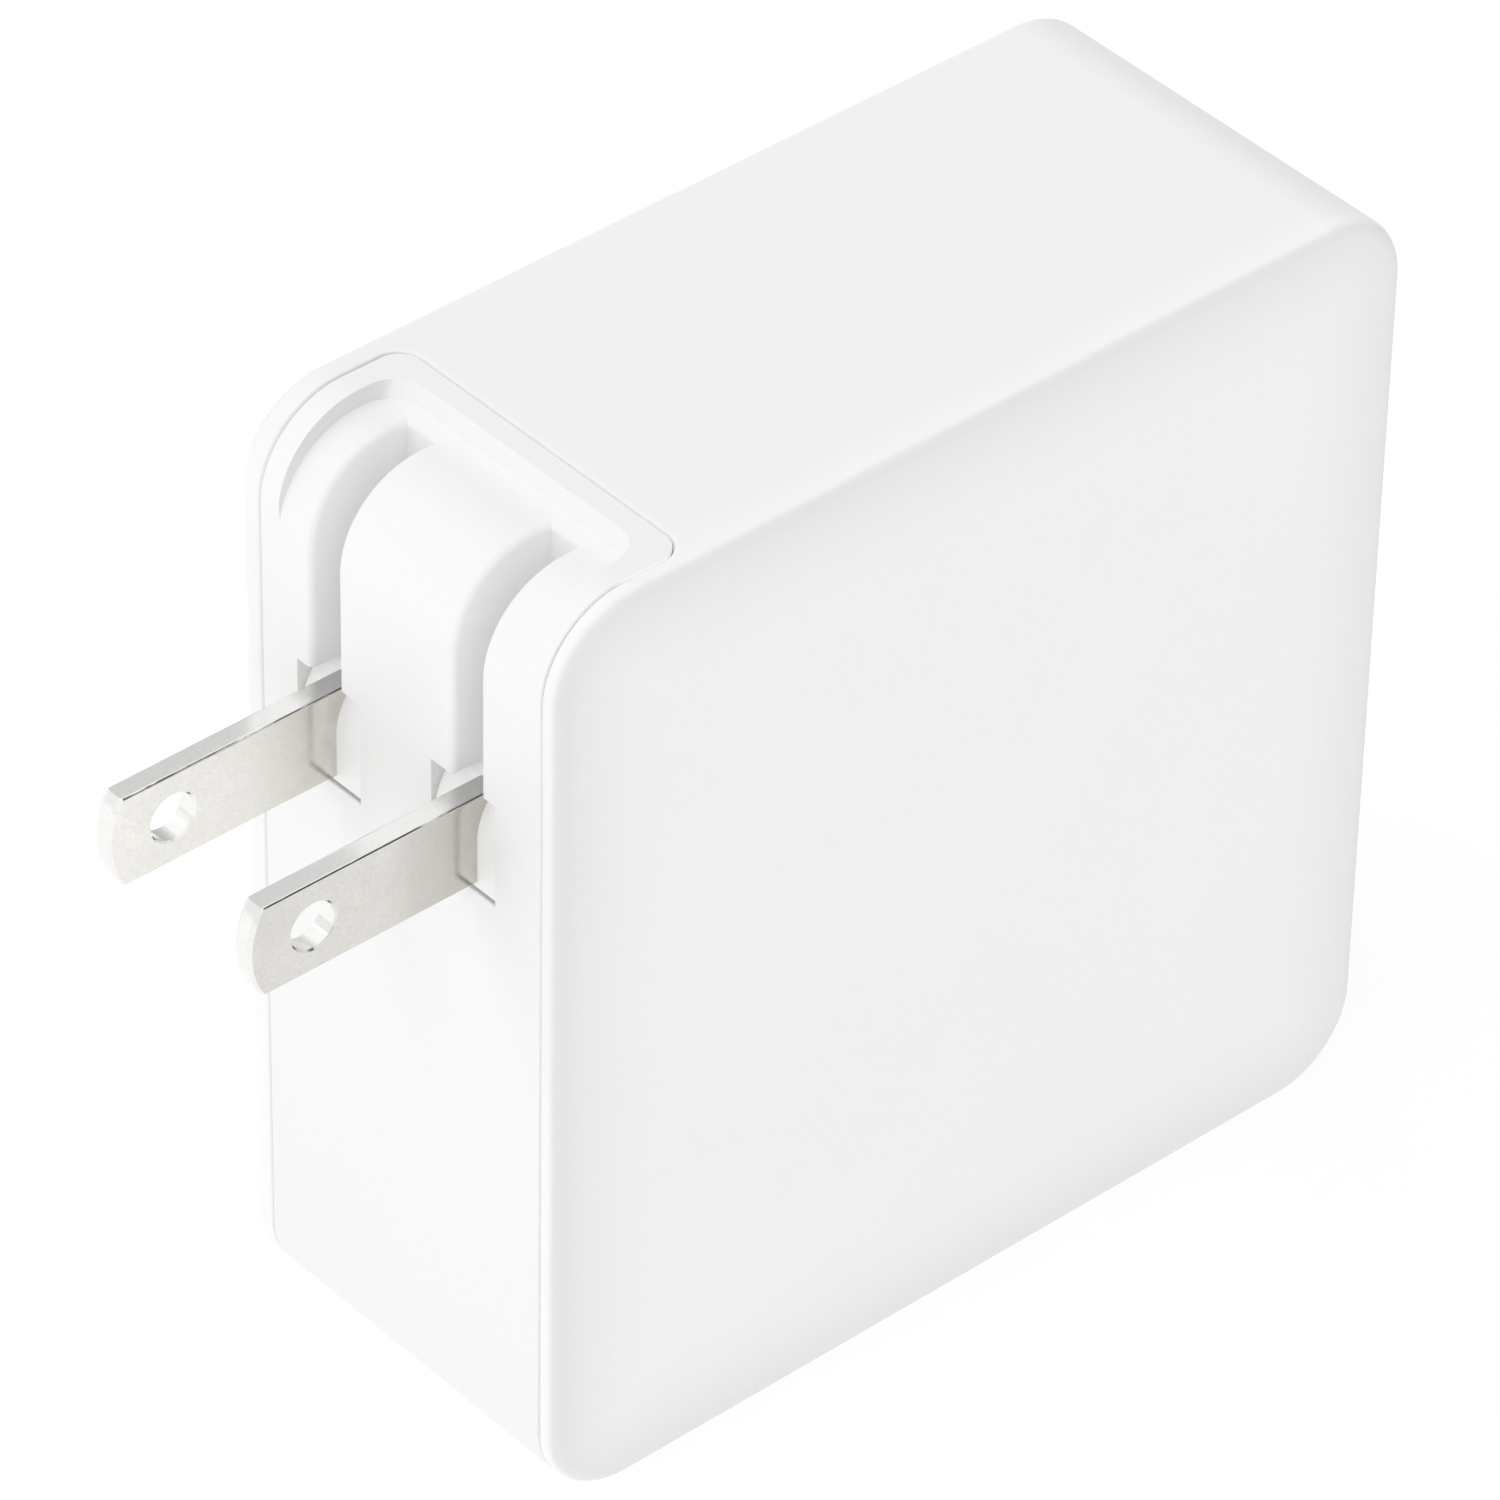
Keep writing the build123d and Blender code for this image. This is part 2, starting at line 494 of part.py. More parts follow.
# ================================================================ boards
with BuildPart() as main_board:
    block((BOARD_X - BOARD_T, BOARD_X), BOARD_Y, BOARD_Z)
save(main_board, "main_board")

PORT_BOARD_Y = BOARD_Y[1]
SOCKET_Y = (PORT_BOARD_Y + PORT_BOARD_T, PORT_BOARD_Y + PORT_BOARD_T + SOCKET_L)
with BuildPart() as port_board:
    block(PORT_BOARD_X, (PORT_BOARD_Y, PORT_BOARD_Y + PORT_BOARD_T), BOARD_Z)
save(port_board, "port_board")


# ================================================================ sockets
def socket_outline(size, grow, corner, height, y):
    """A socket's rounded outline, long side upright, seen along Y."""
    with BuildSketch(Plane.XZ.offset(-WALL_Y - y)) as outline:
        with Locations((0, height)):
            RectangleRounded(size[1] + 2 * grow, size[0] + 2 * grow, corner + grow)
    return outline.sketch


def socket_shell(size, corner, height):
    """A sheet metal sleeve that stands on the port board, closed at the board."""
    extrude(socket_outline(size, SHEET, corner, height, SOCKET_Y[1]), amount=SOCKET_L)
    extrude(socket_outline(size, 0, corner, height, SOCKET_Y[1]), amount=SOCKET_L - SHEET, mode=Mode.SUBTRACT)


with BuildPart() as usb_c_shell:
    socket_shell(USB_C_IN, USB_C_R, USB_C_Z)
save(usb_c_shell, "usb_c_shell")

with BuildPart() as usb_c_tongue:
    base_y = (SOCKET_Y[0] + SHEET, SOCKET_Y[0] + USB_C_HOUSING)
    housing = socket_outline(USB_C_IN, -HOUSING_GAP, USB_C_R, USB_C_Z, base_y[1])
    extrude(housing, amount=base_y[1] - base_y[0])
    block((-USB_C_TONGUE[1] / 2, USB_C_TONGUE[1] / 2), (base_y[1], SOCKET_Y[1] - USB_C_TONGUE_BACK),
          (USB_C_Z - USB_C_TONGUE[0] / 2, USB_C_Z + USB_C_TONGUE[0] / 2))
    chamfer(usb_c_tongue.edges().filter_by(Axis.Z).group_by(Axis.Y)[-1], USB_C_TONGUE_BEVEL)
save(usb_c_tongue, "usb_c_tongue")

with BuildPart() as usb_c_contacts:
    for face in SIDES.values():
        for number in range(USB_C_PINS):
            z = USB_C_Z + (number - (USB_C_PINS - 1) / 2) * USB_C_PITCH
            pin_x = (face * USB_C_TONGUE[1] / 2, face * (USB_C_TONGUE[1] / 2 + USB_C_PIN_T))
            block(pin_x, (base_y[1], SOCKET_Y[1] - USB_C_PIN_BACK), (z - USB_C_PIN_HALF, z + USB_C_PIN_HALF))
save(usb_c_contacts, "usb_c_contacts")

with BuildPart() as usb_a_shell:
    socket_shell(USB_A_IN, USB_A_R, USB_A_Z)
save(usb_a_shell, "usb_a_shell")

with BuildPart() as usb_a_tongue:
    base_y = (SOCKET_Y[0] + SHEET, SOCKET_Y[0] + USB_A_HOUSING)
    housing = socket_outline(USB_A_IN, -HOUSING_GAP, USB_A_R, USB_A_Z, base_y[1])
    extrude(housing, amount=base_y[1] - base_y[0])
    tongue_z = (USB_A_Z - USB_A_TONGUE_HALF, USB_A_Z + USB_A_TONGUE_HALF)
    block(USB_A_TONGUE_X, (base_y[1], SOCKET_Y[1] - USB_A_TONGUE_BACK), tongue_z)
save(usb_a_tongue, "usb_a_tongue")

with BuildPart() as usb_a_contacts:
    for offset in USB_A_PINS:
        z = USB_A_Z + offset
        block((USB_A_TONGUE_X[1], USB_A_TONGUE_X[1] + USB_A_PIN_T), (base_y[1], SOCKET_Y[1] - USB_A_PIN_BACK),
              (z - USB_A_PIN_HALF, z + USB_A_PIN_HALF))
save(usb_a_contacts, "usb_a_contacts")

# ================================================================ socket plate
with BuildPart() as socket_plate:
    plate_y = PORT_Y - PLATE_SET_BACK
    with BuildSketch(Plane.XZ.offset(-plate_y)) as face_outline:
        with Locations((0, PLATE_MID_Z)):
            RectangleRounded(PLATE_X - 2 * PLATE_GAP, PLATE_Z - 2 * PLATE_GAP, PLATE_R - PLATE_GAP)
    extrude(face_outline.sketch, amount=END_WALL - PLATE_SET_BACK + PLATE_GAP)
    with BuildSketch(Plane.XZ.offset(-PORT_Y + END_WALL)) as flange:
        with Locations((0, PLATE_MID_Z)):
            RectangleRounded(PLATE_X + 2 * FLANGE_OVER, PLATE_Z + 2 * FLANGE_OVER, PLATE_R)
    extrude(flange.sketch, amount=FLANGE_T)
    for size, corner, height in ((USB_C_IN, USB_C_R, USB_C_Z), (USB_A_IN, USB_A_R, USB_A_Z)):
        way = socket_outline(size, SHEET + PLATE_GAP, corner, height, CASE_D + FAR)
        extrude(way, amount=2 * END_WALL + FLANGE_T, mode=Mode.SUBTRACT)
    mouths = socket_plate.edges().filter_by(
        lambda e: abs(e.center().Y - plate_y) < NEAR and abs(e.center().X) < USB_A_IN[1]
        and abs(e.center().Z - PLATE_MID_Z) < PLATE_Z / 2 - PLATE_R)
    chamfer(mouths, SOCKET_BEVEL)
save(socket_plate, "socket_plate")

# ================================================================ transformer
with BuildPart() as transformer_core:
    for side in SIDES.values():
        with BuildSketch(side_plane(CORE_X, WALL_Y + CORE_Y, CORE_Z)) as core_half:
            with Locations((side * CORE_HALF_L / 2, 0)):
                Rectangle(CORE_HALF_L - CORE_SPLIT, CORE_W)
            for up in SIDES.values():
                with Locations((side * (CORE_HALF_L - CORE_BACK) / 2, up * CORE_WINDOW_Z)):
                    Rectangle(CORE_HALF_L - CORE_BACK, CORE_WINDOW_H, mode=Mode.SUBTRACT)
        extrude(core_half.sketch, amount=CORE_T / 2, both=True)
save(transformer_core, "transformer_core")


def spool_outline(half_x, half_z, y, corner=BOBBIN_T):
    """A rounded rectangle round the transformer's middle leg."""
    middle = (CORE_X, WALL_Y + CORE_Y + y, CORE_Z)
    with BuildSketch(Plane(origin=middle, x_dir=(1, 0, 0), z_dir=(0, 1, 0))) as outline:
        RectangleRounded(2 * half_x, 2 * half_z, corner)
    return outline.sketch


SPOOL_END = CORE_HALF_L - CORE_BACK - BOBBIN_GAP
LEG = (CORE_T / 2 + BOBBIN_GAP, LEG_HALF + BOBBIN_GAP)
BARREL = (LEG[0] + BOBBIN_T, LEG[1] + BOBBIN_T)
with BuildPart() as transformer_bobbin:
    extrude(spool_outline(*BARREL, -SPOOL_END), amount=2 * SPOOL_END)
    for y in (-SPOOL_END, SPOOL_END - BOBBIN_T):
        extrude(spool_outline(BOBBIN_HALF_X, BOBBIN_HALF_Z, y), amount=BOBBIN_T)
    for side in SIDES.values():
        rail = CORE_Y + side * (SPOOL_END + BOBBIN_T / 2)
        rail_y = (rail - FOOT_Y, rail + FOOT_Y)
        block((BOARD_X, BOARD_X + FOOT_T), rail_y, (CORE_Z - FOOT_HALF_Z, CORE_Z + FOOT_HALF_Z))
        block((BOARD_X, CORE_X - BARREL[0]), rail_y, (CORE_Z - WEB_HALF_Z, CORE_Z + WEB_HALF_Z))
    extrude(spool_outline(*LEG, -CORE_HALF_L, BOBBIN_GAP), amount=2 * CORE_HALF_L, mode=Mode.SUBTRACT)
save(transformer_bobbin, "transformer_bobbin")

with BuildPart() as transformer_winding:
    length = 2 * (SPOOL_END - BOBBIN_T - BOBBIN_GAP)
    wound = spool_outline(BARREL[0] + WINDING_X, BARREL[1] + WINDING_Z, -length / 2, WINDING_R)
    extrude(wound, amount=length)
    extrude(spool_outline(*BARREL, -length), amount=2 * length, mode=Mode.SUBTRACT)
save(transformer_winding, "transformer_winding")


# ================================================================ other parts on the main board
def upright(radius, height, y, z, mode=Mode.ADD, low=0.0):
    """A round body that stands on the main board, with y counted from the wall face."""
    bar((BOARD_X + low, BOARD_X + height), radius, WALL_Y + y, z, mode)


def can_capacitors(name, spots, radius, height):
    """Can capacitors on the main board: a bevelled top, and a rolled groove near the board."""
    with BuildPart() as cans:
        for y, z in spots:
            upright(radius, height, y, z)
        chamfer(cans.edges().group_by(Axis.X)[-1], CAN_BEVEL)
        for y, z in spots:
            upright(radius + FAR, CAN_GROOVE[1], y, z, Mode.SUBTRACT, CAN_GROOVE[0])
            upright(radius - CAN_GROOVE_DEEP, CAN_GROOVE[1], y, z, Mode.ADD, CAN_GROOVE[0])
    save(cans, name)


def on_board(height, y, z):
    """A block on the main board's component side."""
    block((BOARD_X, BOARD_X + height), y, z)


def under_board(height, y, z):
    """A block on the main board's other side."""
    block((BOARD_X - BOARD_T - height, BOARD_X - BOARD_T), y, z)


can_capacitors("bulk_capacitors", BULK_CANS, BULK_R, BULK_H)
can_capacitors("output_capacitors", OUTPUT_CANS, OUTPUT_R, OUTPUT_H)

with BuildPart() as choke_core:
    with Locations(Location((CHOKE_X, WALL_Y + CHOKE_Y, CHOKE_Z), (90, 0, 0))):
        Cylinder(CHOKE_R, CHOKE_T)
        Cylinder(CHOKE_HOLE_R, CHOKE_T, mode=Mode.SUBTRACT)
save(choke_core, "choke_core")

with BuildPart() as choke_windings:
    mid = (CHOKE_R + CHOKE_HOLE_R) / 2
    ring = CHOKE_R - CHOKE_HOLE_R
    for half in (0, 180):
        for number in range(TURNS):
            angle = radians(half + TURN_SPAN * (number / (TURNS - 1) - 0.5))
            x, z = CHOKE_X + mid * cos(angle), CHOKE_Z + mid * sin(angle)
            with Locations(Location((x, WALL_Y + CHOKE_Y, z), (0, -degrees(angle), 0))):
                Box(ring + 2 * WIRE_T, CHOKE_T + 2 * WIRE_T, WIRE_W)
                Box(ring + WIRE_CLEAR_X, CHOKE_T + WIRE_CLEAR_Y, WIRE_W + FAR, mode=Mode.SUBTRACT)
save(choke_windings, "choke_windings")

with BuildPart() as film_capacitor:
    on_board(*FILM_CAPACITOR)
    fillet(film_capacitor.edges(), BOX_EDGE_R)
save(film_capacitor, "film_capacitor")

with BuildPart() as safety_capacitor:
    upright(DISC_R, DISC_H, DISC_Y, DISC_Z, low=DISC_LIFT)
    fillet(safety_capacitor.edges(), DISC_EDGE_R)
    for side in SIDES.values():
        upright(LEAD_R, DISC_H / 2, DISC_Y + side * LEAD_HALF, DISC_Z)
save(safety_capacitor, "safety_capacitor")

with BuildPart() as input_fuse:
    on_board(*INPUT_FUSE)
    fillet(input_fuse.edges().filter_by(Axis.X), BOX_EDGE_R)
save(input_fuse, "input_fuse")

with BuildPart() as bridge_rectifier:
    on_board(*BRIDGE_RECTIFIER)
    chamfer(bridge_rectifier.edges().group_by(Axis.X)[-1], CHIP_BEVEL)
save(bridge_rectifier, "bridge_rectifier")

for name, place in {"power_switch": POWER_SWITCH, "controller_chip": CONTROLLER,
                    "output_rectifier": OUTPUT_RECTIFIER}.items():
    with BuildPart() as chip:
        under_board(*place)
        chamfer(chip.edges().group_by(Axis.X)[0], CHIP_BEVEL)
    save(chip, name)

# ================================================================ heat spreaders, their pad and the sleeve
for name, side in {"heat_spreader_back": -1, "heat_spreader_front": 1}.items():
    with BuildPart() as heat_spreader:
        block((side * SPREADER_X, side * (SPREADER_X + SPREADER_T)), SPREAD_Y, SPREAD_Z)
    save(heat_spreader, name)

with BuildPart() as thermal_pad:
    block((CORE_X + BOBBIN_HALF_X, SPREADER_X - FILM_T), (CORE_Y - PAD_HALF_Y, CORE_Y + PAD_HALF_Y),
          (CORE_Z - PAD_HALF_Z, CORE_Z + PAD_HALF_Z))
save(thermal_pad, "thermal_pad")

with BuildPart() as insulation_film:
    block((SPREADER_X - FILM_T, SPREADER_X), SPREAD_Y, (FILM_LOW, SPREAD_Z[1]))
    block((BOARD_X + RIB_T + 2 * RIB_GAP, SPREADER_X), SPREAD_Y, (FILM_LOW, FILM_LOW + FILM_T))
save(insulation_film, "insulation_film")
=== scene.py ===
import json
import math

import bpy
from mathutils import Matrix, Vector


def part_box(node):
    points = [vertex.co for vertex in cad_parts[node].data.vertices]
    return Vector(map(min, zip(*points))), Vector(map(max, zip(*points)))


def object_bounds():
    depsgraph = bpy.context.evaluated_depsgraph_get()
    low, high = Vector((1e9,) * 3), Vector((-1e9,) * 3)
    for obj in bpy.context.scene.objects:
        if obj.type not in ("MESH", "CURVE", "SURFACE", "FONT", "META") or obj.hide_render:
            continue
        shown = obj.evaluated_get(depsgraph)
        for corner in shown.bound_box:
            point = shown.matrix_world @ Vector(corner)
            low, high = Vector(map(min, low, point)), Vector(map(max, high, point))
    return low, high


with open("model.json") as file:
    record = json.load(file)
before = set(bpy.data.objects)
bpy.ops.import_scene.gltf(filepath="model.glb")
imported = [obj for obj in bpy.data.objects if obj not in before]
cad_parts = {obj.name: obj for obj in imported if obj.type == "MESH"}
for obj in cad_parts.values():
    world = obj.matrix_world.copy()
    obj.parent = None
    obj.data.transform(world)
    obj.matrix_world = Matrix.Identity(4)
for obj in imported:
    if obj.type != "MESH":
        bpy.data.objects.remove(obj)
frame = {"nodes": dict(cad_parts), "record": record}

CAD_LOW, CAD_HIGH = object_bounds()
SCENE = bpy.context.scene
MM = 0.001

# where things are on the part
SHELL_LOW, SHELL_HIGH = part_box("case_shell")
BLADE_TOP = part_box("blade_right")[1].z
CORNER = 6 * MM                     # radius of the case's big corners, seen from the side
WRAP = 10.6 * MM                    # how far the wall cover reaches over the top
RIM_INSET = (MM, 1.2 * MM)          # the case's large faces end in rounds nearer to its sides than this
NEAR_SEAM_INSET = (2.5 * MM, 3 * MM)    # and the side seams are nearer to them than this
FAR_SEAM_INSET = (3 * MM, 4 * MM)
RECESS_SIDE = ((9.5 * MM, 10 * MM), (11.2 * MM, 11.4 * MM))     # the recess's side walls are between these
BLADE_X = 6.35 * MM                 # half of the blade spacing

# Painted shade and light on the case and the cover: how strong, and over what distance where there are two
# numbers.
# Where a spread below takes a part of the surface's facing, its last two numbers are cosines.
FLAT = (0.42, 0.74)                 # facing a side: from not at all to fully
RIM_SHADE = (0.12, 9 * MM)          # painted shade towards the rims of the large faces
FRONT_SHADE = (0.05, 2.5 * MM)      # and more so beside the wall
SIDE_LIGHT = (0.07, 3.5 * MM)       # painted highlight along the top's near edge
SHELL_ROUND_SHADE, COVER_ROUND_SHADE = 0.045, 0.025     # painted shade on the round between the wall and the top
SEAM_SHADE = 0.7                    # painted shade in the seam across the top
SEAM_WIDTH = (0.15 * MM, 0.3 * MM)
FAR_SEAM = (0.12, 0.4)              # share of that in the far side seam: on the wall, and on the top
FAR_SEAM_RUN = (MM, 8 * MM)         # where it changes, from the wall's face
SEAM_GLOW = 0.14                    # painted glow at the cover's edge in the near side seam
NEAR_SEAM = (0.5, 0.3, 1.1)         # share of that: on the wall, round the corner, and on the top
RECESS_SHADE = 0.18                 # painted shade on the far side wall of the finger recess
COVER_FOOT_SHADE = (0.945, 38 * MM)       # painted shade: tone at the cover's foot, and the height where it ends

# tones of the blades, painted light and shade among them
BLADE_PAINTED_LIGHT = (1.28, 1.02)          # painted light: the left blade is lighter than the right one
ROOT_SHADE_REACH = 7 * MM                      # how far the brown painted shade reaches from the case
ROOT_EDGE_SHADE = 2.4 * MM                     # painted shade on the plate's edges this near the case
ROOT_EDGE_SHADE_TONE = 0.7
STREAK_BAND = (0.5 * MM, 0.4 * MM)    # only the upper long edges carry the dark streak


def shade(tone, factor):
    """The tone, made lighter or darker."""
    return tuple(min(1.0, c * factor) for c in tone)


def tinted(tone, factors):
    """The tone, with its red, green and blue each times its own factor."""
    return tuple(c * factor for c, factor in zip(tone, factors))


PLASTIC_IOR = 1.45
WHITE_LIGHT = (1, 1, 1, 1)


# ---------------------------------------------------------------- node helpers
class Nodes:
    """A material's node tree, with short calls for the nodes that the materials share."""

    def __init__(self, name):
        self.material = bpy.data.materials.new(name)
        self.material.use_nodes = True
        self.tree = self.material.node_tree
        self.tree.nodes.clear()
        self.shader = self.add("ShaderNodeBsdfPrincipled")
        output = self.add("ShaderNodeOutputMaterial")
        self.link(self.shader.outputs["BSDF"], output.inputs["Surface"])
        coordinates = self.add("ShaderNodeTexCoord")
        self.place = coordinates.outputs["Object"]
        self.facing = coordinates.outputs["Normal"]

    def add(self, kind, **values):
        """A new node with these settings."""
        node = self.tree.nodes.new(kind)
        for key, value in values.items():
            setattr(node, key, value)
        return node

    def link(self, source, target):
        """Connect an output to an input."""
        self.tree.links.new(source, target)

    def stretched(self, scale):
        """Object coordinates, stretched by scale along each axis."""
        mapping = self.add("ShaderNodeMapping")
        mapping.inputs["Scale"].default_value = scale
        self.link(self.place, mapping.inputs["Vector"])
        return mapping.outputs["Vector"]

    def noise(self, size, detail=4.0, roughness=0.55, place=None, distortion=0.0):
        """Noise whose features are about size metres across."""
        node = self.add("ShaderNodeTexNoise")
        node.inputs["Scale"].default_value = 1 / size
        node.inputs["Detail"].default_value = detail
        node.inputs["Roughness"].default_value = roughness
        node.inputs["Distortion"].default_value = distortion
        self.link(place or self.place, node.inputs["Vector"])
        return node.outputs["Fac"]

    def ramp(self, factor, stops):
        """A colour ramp: stops are pairs of position and colour."""
        node = self.add("ShaderNodeValToRGB")
        elements = node.color_ramp.elements
        while len(elements) < len(stops):
            elements.new(0.5)
        for element, (position, colour) in zip(elements, stops):
            element.position = position
            element.color = (*colour, 1.0)
        self.link(factor, node.inputs["Fac"])
        return node.outputs["Color"]

    def spread(self, factor, low, high, at_low=0.3, at_high=0.7):
        """The factor, mapped from at_low..at_high to low..high."""
        node = self.add("ShaderNodeMapRange")
        for key, value in (("From Min", at_low), ("From Max", at_high), ("To Min", low), ("To Max", high)):
            node.inputs[key].default_value = value
        self.link(factor, node.inputs["Value"])
        return node.outputs["Result"]

    def mix(self, factor, first, second):
        """A colour between first and second."""
        node = self.add("ShaderNodeMix", data_type="RGBA")
        factor_in, first_in, second_in = node.inputs[0], node.inputs[6], node.inputs[7]
        for socket, value in ((factor_in, factor), (first_in, first), (second_in, second)):
            if isinstance(value, (int, float)):
                socket.default_value = value
            elif isinstance(value, tuple):
                socket.default_value = (*value, 1.0)
            else:
                self.link(value, socket)
        return node.outputs[2]

    def split(self, vector):
        """The vector's parts, by their names."""
        node = self.add("ShaderNodeSeparateXYZ")
        self.link(vector, node.inputs[0])
        return node.outputs

    def scaled(self, colour, factor):
        """The colour times a factor."""
        node = self.add("ShaderNodeVectorMath", operation="SCALE")
        self.link(colour, node.inputs[0])
        self.link(factor, node.inputs["Scale"])
        return node.outputs["Vector"]

    def maths(self, operation, first, second=0.0):
        """One sum of two numbers or outputs."""
        node = self.add("ShaderNodeMath", operation=operation)
        for socket, value in zip(node.inputs, (first, second)):
            if isinstance(value, (int, float)):
                socket.default_value = value
            else:
                self.link(value, socket)
        return node.outputs["Value"]

    def bump(self, height, distance, normal=None):
        """Relief of the given depth in metres, on top of an earlier relief."""
        node = self.add("ShaderNodeBump")
        node.inputs["Strength"].default_value = 1.0
        node.inputs["Distance"].default_value = distance
        self.link(height, node.inputs["Height"])
        if normal is not None:
            self.link(normal, node.inputs["Normal"])
        return node.outputs["Normal"]

    def finish(self, colour=None, roughness=None, normal=None, **fixed):
        """Connect what varies, and set what is the same all over on the shader's own sockets."""
        for name, source in (("Base Color", colour), ("Roughness", roughness), ("Normal", normal)):
            if source is not None:
                self.link(source, self.shader.inputs[name])
        for name, value in fixed.items():
            self.shader.inputs[name.replace("_", " ")].default_value = value
        return self.material


# ---------------------------------------------------------------- materials
def white_plastic(name, tone, rough=(0.46, 0.56), glow=0.03, painted_light_by_place=None, glow_by_place=None):
    """White moulded plastic: a very fine spark-eroded grain, a tone that drifts a little, and a faint
    painted glow that stands in for the light that comes through it."""
    n = Nodes(name)
    drift = n.noise(14 * MM, detail=2.0)
    fine = n.noise(0.2 * MM, detail=2.0, roughness=0.6)
    speck = n.noise(0.7 * MM, detail=3.0)
    base = n.ramp(drift, ((0.3, shade(tone, 0.995)), (0.7, shade(tone, 1.005))))
    colour = n.mix(n.spread(speck, 0.0, 0.4, 0.35, 0.65), base, shade(tone, 0.985))
    # the case and the cover take painted shade and light by place
    if painted_light_by_place:
        colour = n.scaled(colour, painted_light_by_place(n))
    roughness = n.spread(speck, rough[0], rough[1])
    normal = n.bump(fine, 0.008 * MM)
    if glow_by_place:
        n.link(glow_by_place(n, glow), n.shader.inputs["Emission Strength"])
    return n.finish(colour, roughness, normal, IOR=PLASTIC_IOR,
                    Emission_Color=WHITE_LIGHT, Emission_Strength=glow)


def top_round_shade(n, most):
    """How much painted shade darkens the round between the wall and the top."""
    facing = n.split(n.facing)
    both = n.maths("MINIMUM", n.maths("MULTIPLY", facing["Y"], -1.0), facing["Z"])
    return n.spread(both, 0.0, most, 0.1, 0.7)


def rim_depth(n, place):
    """How far in from the case's outline, seen from the side, a point is."""
    beyond = []
    for axis, low, high in (("Y", SHELL_LOW.y, SHELL_HIGH.y), ("Z", SHELL_LOW.z, SHELL_HIGH.z)):
        middle = (low + high) / 2
        distance = n.maths("ABSOLUTE", n.maths("SUBTRACT", place[axis], middle))
        beyond.append(n.maths("SUBTRACT", distance, high - middle - CORNER))
    squares = [n.maths("POWER", n.maths("MAXIMUM", value, 0.0), 2.0) for value in beyond]
    in_corner = n.maths("POWER", n.maths("ADD", *squares), 0.5)
    in_middle = n.maths("MINIMUM", n.maths("MAXIMUM", *beyond), 0.0)
    return n.maths("SUBTRACT", CORNER, n.maths("ADD", in_corner, in_middle))


def shell_painted_light(n):
    """Painted shade and light on the case: a touch darker towards the rims of its large faces and in two
    seams, and lighter above.
    """
    place, facing = n.split(n.place), n.split(n.facing)
    near_rim = n.maths("POWER", n.spread(rim_depth(n, place), 1.0, 0.0, 0.0, RIM_SHADE[1]), 2.0)
    near_front = n.spread(place["Y"], 1.0, 0.0, SHELL_LOW.y, SHELL_LOW.y + FRONT_SHADE[1])
    near_front = n.maths("POWER", near_front, 2.0)
    near_side = n.spread(place["X"], 0.0, 1.0, SHELL_HIGH.x - SIDE_LIGHT[1], SHELL_HIGH.x)
    near_side = n.maths("POWER", near_side, 2.0)
    outside = n.spread(n.maths("ABSOLUTE", place["X"]), 0.0, 1.0, SHELL_HIGH.x - RIM_INSET[1],
                       SHELL_HIGH.x - RIM_INSET[0])
    on_face = n.maths("MULTIPLY", n.spread(n.maths("ABSOLUTE", facing["X"]), 0.0, 1.0, *FLAT), outside)
    darker = n.maths("ADD", n.maths("MULTIPLY", near_rim, RIM_SHADE[0]),
                     n.maths("MULTIPLY", near_front, FRONT_SHADE[0]))
    darker = n.maths("ADD", n.maths("MULTIPLY", darker, on_face), top_round_shade(n, SHELL_ROUND_SHADE))
    lighter = n.maths("MULTIPLY", near_side, n.spread(facing["Z"], 0.0, SIDE_LIGHT[0], 0.2, 0.8))
    tone = n.maths("SUBTRACT", n.maths("ADD", lighter, 1.0), darker)
    # painted shade in the seam across the top, the deepest one
    from_seam = n.maths("ABSOLUTE", n.maths("SUBTRACT", place["Y"], SHELL_LOW.y + WRAP))
    across = n.maths("MULTIPLY", n.spread(from_seam, 1.0, 0.0, *SEAM_WIDTH),
                     n.spread(facing["Y"], 1.0, 0.0, -0.95, -0.8))
    # and painted shade in the far side seam where it runs over the top
    inner = n.maths("MULTIPLY", n.spread(facing["X"], 0.0, 1.0, 0.3, 0.7),
                    n.spread(place["X"], 1.0, 0.0, *[SHELL_LOW.x + inset for inset in FAR_SEAM_INSET]))
    run = n.spread(place["Y"], *FAR_SEAM, *[SHELL_LOW.y + distance for distance in FAR_SEAM_RUN])
    inner = n.maths("MULTIPLY", inner, run)
    return n.maths("SUBTRACT", tone, n.maths("MULTIPLY", n.maths("MAXIMUM", across, inner), SEAM_SHADE))


def cover_painted_shade(n):
    """Painted shade on the cover: a touch darker lower down, and on the far side wall of its finger recess.
    """
    place, facing = n.split(n.place), n.split(n.facing)
    out = n.maths("ABSOLUTE", place["X"])
    in_recess = n.maths("MULTIPLY", n.spread(out, 0.0, 1.0, *RECESS_SIDE[0]),
                        n.spread(out, 1.0, 0.0, *RECESS_SIDE[1]))
    wall = n.maths("MULTIPLY", n.spread(facing["X"], 0.0, RECESS_SHADE, 0.7, 0.9), in_recess)
    lower_down = n.spread(place["Z"], COVER_FOOT_SHADE[0], 1.0, 0.0, COVER_FOOT_SHADE[1])
    return n.maths("SUBTRACT", lower_down, n.maths("ADD", wall, top_round_shade(n, COVER_ROUND_SHADE)))


